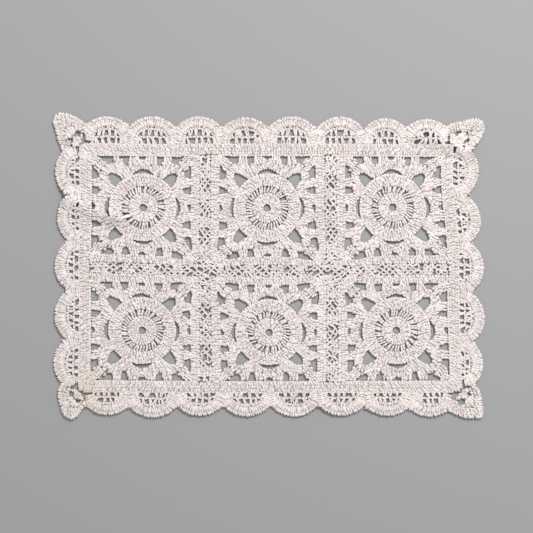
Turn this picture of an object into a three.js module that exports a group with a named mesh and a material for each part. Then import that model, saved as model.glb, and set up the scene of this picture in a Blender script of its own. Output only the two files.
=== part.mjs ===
// A crocheted lace mat of cotton yarn, lying flat.
// Six square motifs are joined by a narrow openwork mesh. A solid band is worked round all six,
// and a scalloped edging with an ear at each corner is worked on the band.
// Millimetres, +Z up. X runs along the long side and Y along the short side. The underside is
// Z = 0, and the origin is the middle of the mat's outline on the underside.
import * as THREE from "three";

// ---- Driving dimensions ----
const COLUMNS = 3;
const ROWS = 2;
const PITCH_X = 125.5; // from one motif's centre to the next, along the long side
const PITCH_Y = 123.5;
const CLOTH_THICK = 2.4;
const MESH_THICK = 1.8; // the openwork between the motifs is one strand thinner
const GAP = 0.3; // between neighbouring pieces
const STEP = 12; // longest straight stretch of an outline

const SEAM = 52; // from a motif's centre to the band
const MESH_HALF = 5; // half the width of the joining mesh
const CORNER_CUT = 9; // what the mesh takes off each motif's corner where four motifs meet
const HOLE_EDGE = { joined: 47.8, banded: 50.6 }; // centre to the far edge of the outermost holes
const BAND_WIDTH = 9.7;
const SCALLOP_RADIUS = 30.6;
const SCALLOP_STEPS = 7;

// ---- The motif's openings, drawn round its centre ----
const CENTRE_HOLE = { radius: 3.9, sides: 12 };
const CRESCENT = { radius: 33.5, rise: 4, halfAngle: 18.5, steps: 5 }; // one in the middle of each side
const HEART = { neck: 33.9, tip: 35, rise: 11.2, halfAngle: 11.5 }; // one on each diagonal
const HEART_STEPS = [-1, -0.78, -0.46, -0.16, 0.16, 0.46, 0.78, 1];
const HEART_NECK_STEPS = [0.55, -0.55];
// Gaps between the stitch clusters of the last openwork round. Each is at a distance along the
// side from its middle, and has an outline of [along the side, out from the holes' far edge].
const CLUSTER_GAPS = [
  { at: 0, outline: [[-3.4, 0.2], [3.4, 0.2], [2, -2.2], [-2, -2.2]] },
  { at: 17, outline: [[-3.6, -0.2], [3.6, -0.1], [2.6, -5.6], [0, -8.4], [-2.6, -5.6]] },
  { at: 35, outline: [[-5.5, 0.3], [6, 0.1], [4.5, -2.6], [-0.5, -6.2], [-5.5, -5.6]] },
];

// ---- How the cloth is pulled out of true: a point of the even layout, and where it is drawn ----
const PULLS = [
  { x: -125.5, y: 61.75, dx: 0.5, dy: -1.7 },
  { x: 0, y: 61.75, dx: -2.2, dy: -2.5 },
  { x: 125.5, y: 61.75, dx: -1.9, dy: -1 },
  { x: -125.5, y: -61.75, dx: -0.5, dy: -0.8 },
  { x: 0, y: -61.75, dx: 0.1, dy: -3.6 },
  { x: 125.5, y: -61.75, dx: 1.8, dy: -0.8 },
  { x: -62.75, y: 0, dx: -1.8, dy: -3.5 },
  { x: 62.75, y: 0, dx: 0.3, dy: -4 },
  { x: -176, y: 0, dx: -2, dy: 0.5 },
  { x: 176, y: 0, dx: 2.5, dy: -1.5 },
  { x: -176, y: 112, dx: -1, dy: 0 },
  { x: 176, y: 112, dx: -5, dy: -1.5 },
  { x: -176, y: -112, dx: -2.5, dy: 0.5 },
  { x: 176, y: -112, dx: 5, dy: 0 },
  { x: 0, y: 114, dx: -1, dy: 0 },
  { x: 0, y: -114, dx: 0.5, dy: 0 },
];
const PULL_REACH = 32;
const PULL_SLACK = 0.08;

// ---- The scalloped edging, anticlockwise ----
// widths are its scallops' along each side, start is where the first begins, measured from the
// side's middle, and crowns are how far each one stands out from the band.
const SIDES = [
  {
    name: "bottom",
    start: -180.3,
    widths: [42.7, 45.6, 46.1, 47, 48, 46, 41.7, 40.3],
    crowns: [24.8, 27, 25.2, 25.7, 25.7, 24.9, 24.9, 26],
  },
  {
    name: "right",
    start: -117,
    widths: [43.2, 51.1, 49, 48.9, 46.1],
    crowns: [23.4, 27, 26.5, 25.8, 27.6],
  },
  {
    name: "top",
    start: -182.9,
    widths: [41.5, 44.5, 49.6, 47.1, 46, 46.7, 47.3, 41.8],
    crowns: [27.3, 27.8, 28.7, 28.9, 28, 29, 29, 28.8],
  },
  {
    name: "left",
    start: -119,
    widths: [44.9, 47.4, 49.1, 49.9, 45.1],
    crowns: [26.2, 24, 26, 26.2, 26.6],
  },
];
// The ear that follows each side, as its outline from one valley to the next: degrees anticlockwise
// from the diagonal through the band's corner, and how far out from that corner.
const EARS = [
  [
    [-77, 24], [-64, 23.8], [-53, 24.7], [-42, 26.5], [-31, 28.4], [-20, 30.5], [-12, 33], [-4, 35],
    [2, 33.2], [7, 30.3], [15, 26.6], [25, 23.8], [35, 22.2], [45, 20.5], [55, 19], [63, 18.5],
  ],
  [
    [-50, 23.5], [-44, 25.3], [-36, 29.4], [-29, 32.6], [-23, 35.4], [-17, 38], [-10, 39.3],
    [-2, 39.3], [6, 36.4], [12, 32.9], [17, 30.2], [25, 26.9], [36, 24.9], [46, 23.6], [57, 21],
  ],
  [
    [-57, 22.7], [-45, 25.8], [-38, 28.3], [-31, 30.4], [-26, 33], [-20, 35.4], [-14, 38], [-7, 40],
    [1, 38.8], [8, 35.6], [14, 31.3], [20, 27.9], [29, 25.5], [38, 23.3], [46, 21.4], [61, 20.7],
  ],
  [
    [-66, 20.3], [-54, 21.3], [-43, 22.2], [-28, 22.7], [-16, 23.8], [-4, 25.4], [5, 28],
    [13, 29.7], [24, 30.3], [32, 29.6], [39, 27.2], [46, 24.1], [55, 19.7], [67, 17.2],
  ],
];

// The band's outer corner, from the origin of the even layout.
const BAND_HALF = [
  ((COLUMNS - 1) / 2) * PITCH_X + SEAM + BAND_WIDTH,
  ((ROWS - 1) / 2) * PITCH_Y + SEAM + BAND_WIDTH,
];

// ---- Plane helpers: a point is [x, y] ----

// A point moved as the cloth is pulled: the average of the pulls, each weighted by its nearness.
function pulled([x, y]) {
  let weight = PULL_SLACK;
  let dx = 0;
  let dy = 0;
  for (const pull of PULLS) {
    const squared = (x - pull.x) ** 2 + (y - pull.y) ** 2;
    const nearness = Math.exp(-squared / (2 * PULL_REACH ** 2));
    weight += nearness;
    dx += nearness * pull.dx;
    dy += nearness * pull.dy;
  }
  return [x + dx / weight, y + dy / weight];
}

function plus([x, y], [dx, dy]) {
  return [x + dx, y + dy];
}

// A number of quarter turns about the origin, anticlockwise.
function quarter([x, y], turns) {
  const cos = [1, 0, -1, 0][turns % 4];
  const sin = [0, 1, 0, -1][turns % 4];
  return [x * cos - y * sin, x * sin + y * cos];
}

function polar(radius, degrees) {
  const angle = THREE.MathUtils.degToRad(degrees);
  return [radius * Math.cos(angle), radius * Math.sin(angle)];
}

// The closed outline through some corners, with no stretch longer than STEP.
function through(corners) {
  return corners.flatMap(([x, y], i) => {
    const [nextX, nextY] = corners[(i + 1) % corners.length];
    const pieces = Math.max(1, Math.ceil(Math.hypot(nextX - x, nextY - y) / STEP));
    return Array.from({ length: pieces }, (_, n) => [
      x + ((nextX - x) * n) / pieces,
      y + ((nextY - y) * n) / pieces,
    ]);
  });
}

function rectangle([halfX, halfY]) {
  return through([[-halfX, -halfY], [halfX, -halfY], [halfX, halfY], [-halfX, halfY]]);
}

// A flat piece between an outline and its openings, pulled out of true and given its thickness.
function flatPiece({ name, thick = CLOTH_THICK, colour, outline, openings = [] }) {
  const line = (points) => points.map((point) => new THREE.Vector2(...pulled(point)));
  const shape = new THREE.Shape(line(outline));
  shape.holes = openings.map((points) => new THREE.Path(line(points)));
  const geometry = new THREE.ExtrudeGeometry(shape, { depth: thick, bevelEnabled: false });
  const material = new THREE.MeshStandardMaterial({ color: colour, roughness: 0.92, metalness: 0 });
  const mesh = new THREE.Mesh(geometry, material);
  mesh.name = name;
  return mesh;
}

// ---- Motifs ----
// Their sides are counted anticlockwise from the bottom: bottom, right, top, left.

function centreHole() {
  const { radius, sides } = CENTRE_HOLE;
  return Array.from({ length: sides }, (_, i) => polar(radius, (360 * i) / sides));
}

function crescent(middle) {
  const { radius, rise, halfAngle, steps } = CRESCENT;
  const shares = Array.from({ length: steps + 1 }, (_, i) => (2 * i) / steps - 1);
  const far = shares.map((share) =>
    polar(radius + rise * Math.cos((Math.PI / 2) * share), middle + share * halfAngle),
  );
  const near = shares.slice(1, -1).map((share) => polar(radius, middle + share * halfAngle));
  return [...far, ...near.reverse()];
}

function heart(middle) {
  const { neck, tip, rise, halfAngle } = HEART;
  const far = HEART_STEPS.map((share) =>
    polar(tip + rise * (1 - share ** 2), middle + share * halfAngle),
  );
  const near = HEART_NECK_STEPS.map((share) => polar(neck, middle + share * halfAngle));
  return [...far, ...near];
}

function clusterGaps(side, farEdge) {
  return CLUSTER_GAPS.flatMap(({ at, outline }) => {
    const hands = at ? [-1, 1] : [1];
    return hands.map((hand) =>
      outline.map(([along, out]) => quarter([hand * (at + along), -(farEdge + out)], side)),
    );
  });
}

function motifOpenings(joined) {
  const holes = joined.flatMap((isJoined, side) => {
    const farEdge = isJoined ? HOLE_EDGE.joined : HOLE_EDGE.banded;
    return [crescent(90 * side), heart(90 * side + 45), ...clusterGaps(side, farEdge)];
  });
  return [centreHole(), ...holes];
}

// The motif's corners. Where it is joined on both sides, the mesh takes the corner off.
function motifCorners(joined) {
  const reach = joined.map((isJoined, side) => {
    const halfPitch = (side % 2 ? PITCH_X : PITCH_Y) / 2;
    return (isJoined ? halfPitch - MESH_HALF : SEAM) - GAP / 2;
  });
  return joined.flatMap((isJoined, side) => {
    const next = (side + 1) % 4;
    const back = isJoined && joined[next] ? [[CORNER_CUT, 0], [0, CORNER_CUT]] : [[0, 0]];
    return back.map(([along, across]) => quarter([reach[next] - along, across - reach[side]], side));
  });
}

function motif(name, column, row) {
  const centre = [(column - (COLUMNS - 1) / 2) * PITCH_X, (row - (ROWS - 1) / 2) * PITCH_Y];
  const joined = [row > 0, column < COLUMNS - 1, row < ROWS - 1, column > 0];
  return flatPiece({
    name,
    colour: 0xe4dcd6,
    outline: through(motifCorners(joined)).map((point) => plus(point, centre)),
    openings: motifOpenings(joined).map((hole) => hole.map((point) => plus(point, centre))),
  });
}

// ---- The joining mesh ----
const meshEdge = MESH_HALF - GAP / 2;
const meshMouth = meshEdge + CORNER_CUT; // how far it opens out where four motifs meet

// The long stretch between the two rows.
function longMesh(name) {
  const end = ((COLUMNS - 1) / 2) * PITCH_X + SEAM - GAP / 2;
  const bottom = [[-end, -meshEdge]];
  for (let gap = 0; gap < COLUMNS - 1; gap++) {
    const x = (gap - (COLUMNS - 2) / 2) * PITCH_X;
    bottom.push([x - meshMouth, -meshEdge], [x - meshEdge, -meshMouth]);
    bottom.push([x + meshEdge, -meshMouth], [x + meshMouth, -meshEdge]);
  }
  bottom.push([end, -meshEdge]);
  const top = bottom.map(([x, y]) => [-x, -y]);
  return flatPiece({
    name,
    thick: MESH_THICK,
    colour: 0xdcd3cc,
    outline: through([...bottom, ...top]),
  });
}

// An upright stretch between two motifs, from the long mesh to the band.
function uprightMesh(name, column, row) {
  const x = (column - (COLUMNS - 2) / 2) * PITCH_X;
  const from = meshMouth + GAP;
  const to = PITCH_Y / 2 + SEAM - GAP / 2;
  const turns = row ? 0 : 2;
  const corners = [[-meshEdge, from], [meshEdge, from], [meshEdge, to], [-meshEdge, to]];
  return flatPiece({
    name,
    thick: MESH_THICK,
    colour: 0xdcd3cc,
    outline: through(corners.map((corner) => plus(quarter(corner, turns), [x, 0]))),
  });
}

// ---- The band and the edging ----

function band(name) {
  const inner = BAND_HALF.map((half) => half - BAND_WIDTH + GAP / 2);
  return flatPiece({
    name,
    colour: 0xe2d9d3,
    outline: rectangle(BAND_HALF),
    openings: [rectangle(inner).reverse()],
  });
}

// How far a scallop stands out from the band at a share of its width, from -1 to 1.
function scallopReach(width, crown, share) {
  const across = (share * width) / 2;
  return crown - SCALLOP_RADIUS + Math.sqrt(SCALLOP_RADIUS ** 2 - across ** 2);
}

// The scallops of one side, from one ear's valley to the next ear's.
function scallops({ start, widths, crowns }, side) {
  const base = BAND_HALF[(side + 1) % 2];
  const points = [];
  let at = start;
  widths.forEach((width, n) => {
    for (let i = n ? 1 : 0; i <= SCALLOP_STEPS; i++) {
      const share = (2 * i) / SCALLOP_STEPS - 1;
      const out = base + scallopReach(width, crowns[n], share);
      points.push(quarter([at + (width * (1 + share)) / 2, -out], side));
    }
    at += width;
  });
  return points;
}

// The ear on the band's corner at the end of a side.
function ear(outline, side) {
  const corner = quarter([BAND_HALF[side % 2], -BAND_HALF[(side + 1) % 2]], side);
  return outline.map(([degrees, reach]) => plus(corner, polar(reach, 90 * side - 45 + degrees)));
}

function edging(name) {
  const outline = SIDES.flatMap((row, side) => [
    ...scallops(row, side).slice(1, -1),
    ...ear(EARS[side], side),
  ]);
  return flatPiece({
    name,
    colour: 0xe8e0da,
    outline,
    openings: [rectangle(BAND_HALF.map((half) => half + GAP)).reverse()],
  });
}

// ---- Assembly ----
const ROW_NAMES = ["bottom", "top"];
const COLUMN_NAMES = ["left", "middle", "right"];
const MESH_NAMES = ["left", "right"];

const mat = new THREE.Group();
ROW_NAMES.forEach((rowName, row) => {
  COLUMN_NAMES.forEach((columnName, column) => {
    mat.add(motif(`motif_${rowName}_${columnName}`, column, row));
  });
  MESH_NAMES.forEach((meshName, column) => {
    mat.add(uprightMesh(`mesh_${rowName}_${meshName}`, column, row));
  });
});
mat.add(longMesh("mesh_long"));
mat.add(band("band"));
mat.add(edging("edging"));

// The middle of the outline is brought to the origin.
const middle = new THREE.Box3().setFromObject(mat).getCenter(new THREE.Vector3());
mat.position.set(-middle.x, -middle.y, 0);

export default mat;
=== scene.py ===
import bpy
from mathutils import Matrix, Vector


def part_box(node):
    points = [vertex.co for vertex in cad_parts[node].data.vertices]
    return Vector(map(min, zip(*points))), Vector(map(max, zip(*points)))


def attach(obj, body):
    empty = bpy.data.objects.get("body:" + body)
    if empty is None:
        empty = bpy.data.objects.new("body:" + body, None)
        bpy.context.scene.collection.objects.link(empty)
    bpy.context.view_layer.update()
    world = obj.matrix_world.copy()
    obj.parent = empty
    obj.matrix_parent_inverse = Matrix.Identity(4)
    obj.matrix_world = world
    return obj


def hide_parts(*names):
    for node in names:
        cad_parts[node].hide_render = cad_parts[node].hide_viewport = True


bl_info = {
    "name": "Crocheted lace mat",
    "version": (1, 0, 0),
    "blender": (4, 5, 0),
    "location": "3D View > Sidebar > Crochet",
    "description": "Crochets a lace mat of square motifs, a band and a scalloped edging",
    "category": "Add Mesh",
}

from itertools import pairwise

import bpy
import numpy as np
from bpy.props import FloatProperty, FloatVectorProperty, IntProperty, PointerProperty
from mathutils import Vector

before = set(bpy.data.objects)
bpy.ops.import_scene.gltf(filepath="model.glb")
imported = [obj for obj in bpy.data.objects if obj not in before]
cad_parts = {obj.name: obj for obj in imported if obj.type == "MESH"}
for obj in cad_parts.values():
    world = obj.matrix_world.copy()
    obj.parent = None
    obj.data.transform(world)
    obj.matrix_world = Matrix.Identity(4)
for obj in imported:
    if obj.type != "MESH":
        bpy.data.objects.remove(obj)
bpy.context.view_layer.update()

# ---- The even layout of the mat, in millimetres ----
# The cloth is worked out here, then pulled out of true, laid in its folds and brought to metres.
MM = 0.001
COLUMNS = ("left", "middle", "right")
ROWS = ("bottom", "top")
PITCH = (125.5, 123.5)  # from one motif's centre to the next
SEAM = 52.0  # from a motif's centre to the band
MESH_HALF = 5.0  # half the width of the joining mesh
CORNER_CUT = 7.4  # what the mesh takes off a motif's corner where four meet
BAND_WIDTH = 9.7
BAND_HALF = (PITCH[0] + SEAM + BAND_WIDTH, PITCH[1] / 2 + SEAM + BAND_WIDTH)

# How the cloth is pulled out of true: x and y of a place, and how far it is drawn along each.
PULL_REACH = 32.0
PULL_SLACK = 0.08
PULLS = np.array(
    [
        (-125.5, 61.75, 0.5, -1.7), (0, 61.75, -2.2, -2.5), (125.5, 61.75, -1.9, -1),
        (-125.5, -61.75, -0.5, -0.8), (0, -61.75, 0.1, -3.6), (125.5, -61.75, 1.8, -0.8),
        (-62.75, 0, -1.8, -3.5), (62.75, 0, 0.3, -4), (-176, 0, -2, 0.5), (176, 0, 2.5, -1.5),
        (-176, 112, -1, 0), (176, 112, -5, -1.5), (-176, -112, -2.5, 0.5), (176, -112, 5, 0),
        (0, 114, -1, 0), (0, -114, 0.5, 0),
    ]
)

# Soft ridges where the cloth has been folded: from x and y, to x and y, height, and half width.
CREASES = (
    (-216, 70, -152, 48, 4.4, 7.5),
    (-152, 48, -122, 45, 2.2, 7),
    (-100, 30, -34, 14, 0.8, 7),
    (150, 129, 206, 114, 3.8, 7.5),
    (-105, -35, -62, -27, 0.8, 6),
    (-64, -27, -12, -54, 0.8, 6),
    (30, -120, 60, -150, 0.7, 8),
    (-150, 118, -190, 140, 0.9, 9),
)
CREASE_FADE = 9  # how far past its ends a crease still shows
CREASE_SWAY = 1.2  # how far its line sways to each side
WAVINESS = 0.16  # how high the slow waves of the whole cloth are
LIE = 0.76  # how high the even layout's lowest cloth lies, so that its yarn rests on the floor

# ---- The motif's rounds, as radii from its centre ----
CENTRE_RING = 5.0
DISC_ROUND = (5.6, 15.0)
OPEN_ROUND = (15.2, 21.0)
RING_ROUND = (21.0, 33.5)
ANCHOR_RADIUS = 33.4  # of the cloth between the openings
CRESCENT = {"radius": 33.7, "rise": 3.7, "half_angle": 17.8}
HEART = {"tip": 35.0, "rise": 11.2, "half_angle": 10.3}
# The far edge of the round of loops: its radius at an angle from the nearest axis.
LOOP_EDGE = {
    "from_axis": (0, 10.7, 22.5, 29.6, 34.8, 41, 45),
    "radius": (42.6, 43.0, 44.0, 48.0, 52.4, 54.9, 55.4),
}
SQUARE_EDGE = 50.6  # from the motif's centre to the chain that finishes its square
TUCK = 0.4  # how far the posts of a round run over its edges
FIELD_REACH = 34.5  # how far along a side from its middle its field of posts reaches
# How deep the gaps along a side reach in from its edge, by the distance from its middle.
GAPS = {
    "along": (0, 2.8, 4.3, 12.5, 13.4, 17, 20.6, 21.5, 28.4),
    "depth": (3.6, 3.6, 0, 0, 6.2, 8.6, 6.2, 0, 0),
}
CORNER_GAP = {"along": (28.4, 33.8, 39.5, 43.6), "depth": (5.8, 6.5, 3.4, 0)}
# The strip to a corner: how far out its foot and its waist are and half their widths, and how far
# from the sides' middles its head starts.
CORNER_STRIP = {"foot": (55.6, 6.6), "waist": (62.2, 5.5), "head": 43.8}
SQUEEZE_FROM = 33.0  # past here a joined side is drawn in
SQUEEZE = 0.84  # what is left there of each millimetre
SQUEEZE_FADE = (24.0, 16.0)  # from where along the side that fades out, and over what length
BORDER_START = -1.7  # from the square's edge out to a border's stitches, between the gaps
BORDER_DRIFT = 1.9  # how much further out they start where a gap is deep
BORDER_DEPTH = 4.5  # how deep a gap has to be for all of that
EDGE_PITCH = 2.7  # of the chains that finish the squares and start the edging

# ---- The joining mesh ----
KNOT_PITCH = 6.8  # from knot to knot along a row
MESH_LINES = np.linspace(-1.14, 1.14, 5) * MESH_HALF  # where its rows of knots are
CLOSING_PITCH = 25.0  # from one closed place to the next
CLOSING_BARS = (-3.9, -1.3, 1.3, 3.9)  # where the posts of a closed place are
CLOSING_CLEAR = 17  # the least from a closed place to a crossing
CROSSING_ROWS = (4.4, 6.9, 9.4, 11.9, 14.4)  # how far from the long strip's middle
CROSSING_PITCH = 5.4
CROSSING_HALF = 19.0  # a crossing is a diamond, this far from its middle to each tip

# ---- The edging ----
# Each side, anticlockwise: how wide the rim is round the lattice in its scallops, where along it
# they start, their widths, and how far each stands out.
SIDES = (
    {
        "name": "bottom", "rim": 13.5, "start": -180.3,
        "widths": (42.7, 45.6, 46.1, 47, 48, 46, 41.7, 40.3),
        "crowns": (24.8, 27, 25.2, 25.7, 25.7, 24.9, 24.9, 26),
    },
    {
        "name": "right", "rim": 14.8, "start": -117,
        "widths": (43.2, 51.1, 49, 48.9, 46.1),
        "crowns": (23.4, 27, 26.5, 25.8, 27.6),
    },
    {
        "name": "top", "rim": 13.5, "start": -182.9,
        "widths": (41.5, 44.5, 49.6, 47.1, 46, 46.7, 47.3, 41.8),
        "crowns": (27.3, 27.8, 28.7, 28.9, 28, 29, 29, 28.8),
    },
    {
        "name": "left", "rim": 14.8, "start": -119,
        "widths": (44.9, 47.4, 49.1, 49.9, 45.1),
        "crowns": (26.2, 24, 26, 26.2, 26.6),
    },
)
# The ear that follows each side, as its outline from one valley to the next: degrees anticlockwise
# from the diagonal through the band's corner, and how far out from that corner. Each of its holes
# has its middle and half width in degrees, and its middle and half width in how far out it is.
EARS = (
    {
        "lean": (-77, -64, -53, -42, -31, -20, -12, -4, 2, 7, 15, 25, 35, 45, 55, 63),
        "reach": (
            24, 23.8, 24.7, 26.5, 28.4, 30.5, 33, 35, 33.2, 30.3, 26.6, 23.8, 22.2, 20.5, 19, 18.5,
        ),
        "holes": ((-41, 20, 9.9, 3.1), (28, 9, 8.6, 2.4)),
    },
    {
        "lean": (-50, -44, -36, -29, -23, -17, -10, -2, 6, 12, 17, 25, 36, 46, 57),
        "reach": (
            23.5, 25.3, 29.4, 32.6, 35.4, 38, 39.3, 39.3, 36.4, 32.9, 30.2, 26.9, 24.9, 23.6, 21,
        ),
        "holes": ((-54, 7, 10.6, 1.4), (-30, 8, 14.6, 2.8), (-7, 4, 21.4, 1.7), (19, 9, 13, 3)),
    },
    {
        "lean": (-57, -45, -38, -31, -26, -20, -14, -7, 1, 8, 14, 20, 29, 38, 46, 61),
        "reach": (
            22.7, 25.8, 28.3, 30.4, 33, 35.4, 38, 40, 38.8, 35.6, 31.3, 27.9, 25.5, 23.3, 21.4,
            20.7,
        ),
        "holes": ((-33, 15, 11, 2.6), (20, 9, 10.9, 3), (54, 7, 9, 1.4)),
    },
    {
        "lean": (-66, -54, -43, -28, -16, -4, 5, 13, 24, 32, 39, 46, 55, 67),
        "reach": (20.3, 21.3, 22.2, 22.7, 23.8, 25.4, 28, 29.7, 30.3, 29.6, 27.2, 24.1, 19.7, 17.2),
        "holes": ((-66, 7, 8, 1.5), (-28, 20, 7.6, 2.6), (36, 14, 10.1, 1.5)),
    },
)
EAR_BLUR = 2.2  # degrees over which an ear's outline is smoothed
EAR_ROWS = 0.58  # the share of its reach at which the rows round its edge start
EAR_CLEAR = 10.5  # how far from the band's corner they stay
EAR_OPENING = 8  # degrees by which the fan of the scallop beside an ear is opened at its foot
SCALLOP_RADIUS = 30.6  # of the arc along every scallop's edge
RIM_ROW = (-4.3, -0.8)  # from where to where its stitches run, from the edge outwards
FAN_END = 3.8  # how far inside the edge the fans of posts end
CROWN_STAND = 1.5  # how far round the crown a fan stands off the dome
DOME_POWER = 2.6
LATTICE_HALF = 15.8  # half the width of the lattice in a scallop of the next width
LATTICE_SCALLOP = 46
LATTICE_CELLS = 5
WIDE, CLOSE = 3.5, 0.8  # how far a pair's posts stand apart at its two ends

# ---- Yarn and cloth ----
# How each kind of post differs from a plain one.
GRAIN_POSTS = {"rings": 4, "stray": 1.3, "wind": 0.62, "radius": 1.22, "twist": 0.2}
OPEN_POSTS = {"pitch": 3.1, "wind": 0.54, "radius": 1.02}
RIM_POSTS = {"pitch": 2.4, "jitter": 0.08, "rings": 4, "stray": 0.6, "radius": 1.25, "twist": 0.2}
FAN_POSTS = {
    "pitch": 2.3, "jitter": 0.08, "rings": 7, "stray": 0.8, "wind": 0.6, "radius": 1.25,
    "twist": 0.12,
}
CROWN_POSTS = {"pitch": 3.0, "jitter": 0.35, "rings": 4}
LATTICE_POSTS = {"wind": 0.45, "radius": 1.08}
NET_POSTS = {"twist": 0.25, "height": 1.1}
BAR_POSTS = {"rings": 4, "height": 1.1}
SHORTEST_POST = 1.6
STRAND_SIDES = 4
CLOTH_SIDES = 6
COARSE = 6  # the cloth takes every so many points of a finely drawn curve
CLOTH_THICKNESS = 0.5
CLOTH_HEIGHT = 1.0  # of the middle of the cloth
UNDERSIDE_OVER_PAINTED_SHADE = 1.65  # how much lighter the ground cloth's underside, as plain cloth, is than its top, whose dark colour is painted shade between the stitches
MOTIF_FLAT = (114 * MM, 112 * MM)
EDGING_FLAT = 28 * MM
UP = np.array([0.0, 0.0, 1.0])

# Faint discoloured places: where, how wide, how strong and of what colour.
STAINS = (
    {"at": (-0.176, -0.124, 0.0), "radius": 0.032, "strength": 0.5, "colour": (0.78, 0.6, 0.36, 1)},
    {"at": (-0.043, 0.147, 0.0), "radius": 0.03, "strength": 0.35, "colour": (0.66, 0.55, 0.44, 1)},
    {"at": (-0.009, 0.149, 0.0), "radius": 0.022, "strength": 0.3, "colour": (0.68, 0.55, 0.44, 1)},
)
COTTON = {"Roughness": 0.92, "IOR": 1.42, "Sheen Weight": 0.12, "Sheen Roughness": 0.6}


# ---- Plane geometry ----
def points_at(x, y):
    """Points at x and y, each a number or an array."""
    return np.stack(np.broadcast_arrays(x, y), axis=-1)


def polar(radius, angle):
    """Points at a radius and an angle in radians."""
    return points_at(radius * np.cos(angle), radius * np.sin(angle))


def raised(points, height):
    """Points of the plane with their heights."""
    return np.concatenate(
        [points, np.broadcast_to(height, points.shape[:-1])[..., None]], axis=-1
    )


def quarter(points, turns):
    """Points turned about the origin by a number of quarter turns, anticlockwise."""
    cos, sin = ((1, 0), (0, 1), (-1, 0), (0, -1))[turns % 4]
    x, y = points[..., 0], points[..., 1]
    return points_at(x * cos - y * sin, x * sin + y * cos)


def unit(vectors):
    """Vectors brought to a length of 1."""
    return vectors / np.linalg.norm(vectors, axis=-1, keepdims=True)


def cross(one, two):
    """The area between two vectors of the plane, above 0 where the second is to the left."""
    return one[:, 0] * two[:, 1] - one[:, 1] * two[:, 0]


def lengths_along(curve):
    """How far along a curve each of its points is, starting from 0."""
    steps = np.linalg.norm(np.diff(curve, axis=0), axis=1)
    return np.concatenate([[0.0], np.cumsum(steps)])


def picked(curve, places):
    """A curve's points at fractional places in its list of points."""
    numbers = np.arange(len(curve))
    return points_at(*(np.interp(places, numbers, line) for line in curve.T))


def bent(*corners):
    """Nine points along a line with one bend."""
    return picked(np.array(corners), np.linspace(0, 2, 9))


def rectangle(half, per_side):
    """A closed rectangle from its bottom left corner, anticlockwise, per_side points a side."""
    share = np.arange(per_side) / per_side
    corners = np.array([[-1, -1], [1, -1], [1, 1], [-1, 1], [-1, -1]]) * half
    sides = corners[:-1, None] + share[:, None] * np.diff(corners, axis=0)[:, None]
    return np.concatenate([sides.reshape(-1, 2), corners[:1]])


def pulled(points):
    """Points of the even layout, moved as the cloth is pulled.

    Each moves by the average of the pulls, weighted by exp(-distance^2 / (2 reach^2)), with a
    little slack added to the weights so that the far cloth stays put.
    """
    x, y, *draws = PULLS.T
    away_x, away_y = points[..., 0, None] - x, points[..., 1, None] - y
    near = np.exp(-(away_x**2 + away_y**2) / (2 * PULL_REACH**2))
    weight = near.sum(-1) + PULL_SLACK
    moved = points.copy()
    for axis, draw in enumerate(draws):
        moved[..., axis] += (near * draw).sum(-1) / weight
    return moved


def layout_shift():
    """What brings the even layout to the frame: the band's box in the frame fixes it."""
    low, high = np.array(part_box("band"))[:, :2]
    edge = pulled(rectangle(BAND_HALF, 120))
    return (low + high) / 2 / MM - (edge.min(0) + edge.max(0)) / 2


SHIFT = layout_shift()


def crease_lift(x, y):
    """How high the folds carry the cloth at a point, in millimetres.

    Each crease is a ridge along its line: its height times a bell curve of the distance from
    the line, which sways as a sine, faded past its ends by another bell curve. A slow waviness,
    a sum of sines, is added all over.
    """
    lift = np.zeros_like(x)
    for x0, y0, x1, y1, height, width in CREASES:
        run_x, run_y = x1 - x0, y1 - y0
        length = np.hypot(run_x, run_y)
        along = ((x - x0) * run_x + (y - y0) * run_y) / length
        across = ((y - y0) * run_x - (x - x0) * run_y) / length
        beyond = np.maximum(np.maximum(-along, along - length), 0)
        sway = CREASE_SWAY * np.sin(along / 9)
        bell = np.exp(-(((across - sway) / width) ** 2) - (beyond / CREASE_FADE) ** 2)
        lift += height * bell
    wave = np.sin(x / 23 + 1.3) * np.sin(y / 19 + 0.4) + 0.6 * np.sin(x / 11 - y / 14)
    return lift + WAVINESS * (wave + 1.6) + LIE


def laid(points):
    """Points of the even layout in millimetres, brought to where the mat lies, in metres."""
    placed = pulled(points)
    placed[..., :2] += SHIFT
    placed[..., 2] += crease_lift(placed[..., 0], placed[..., 1])
    return placed * MM


def added(name, data):
    """A new object in the scene."""
    made = bpy.data.objects.new(name, data)
    bpy.context.scene.collection.objects.link(made)
    return made


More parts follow.
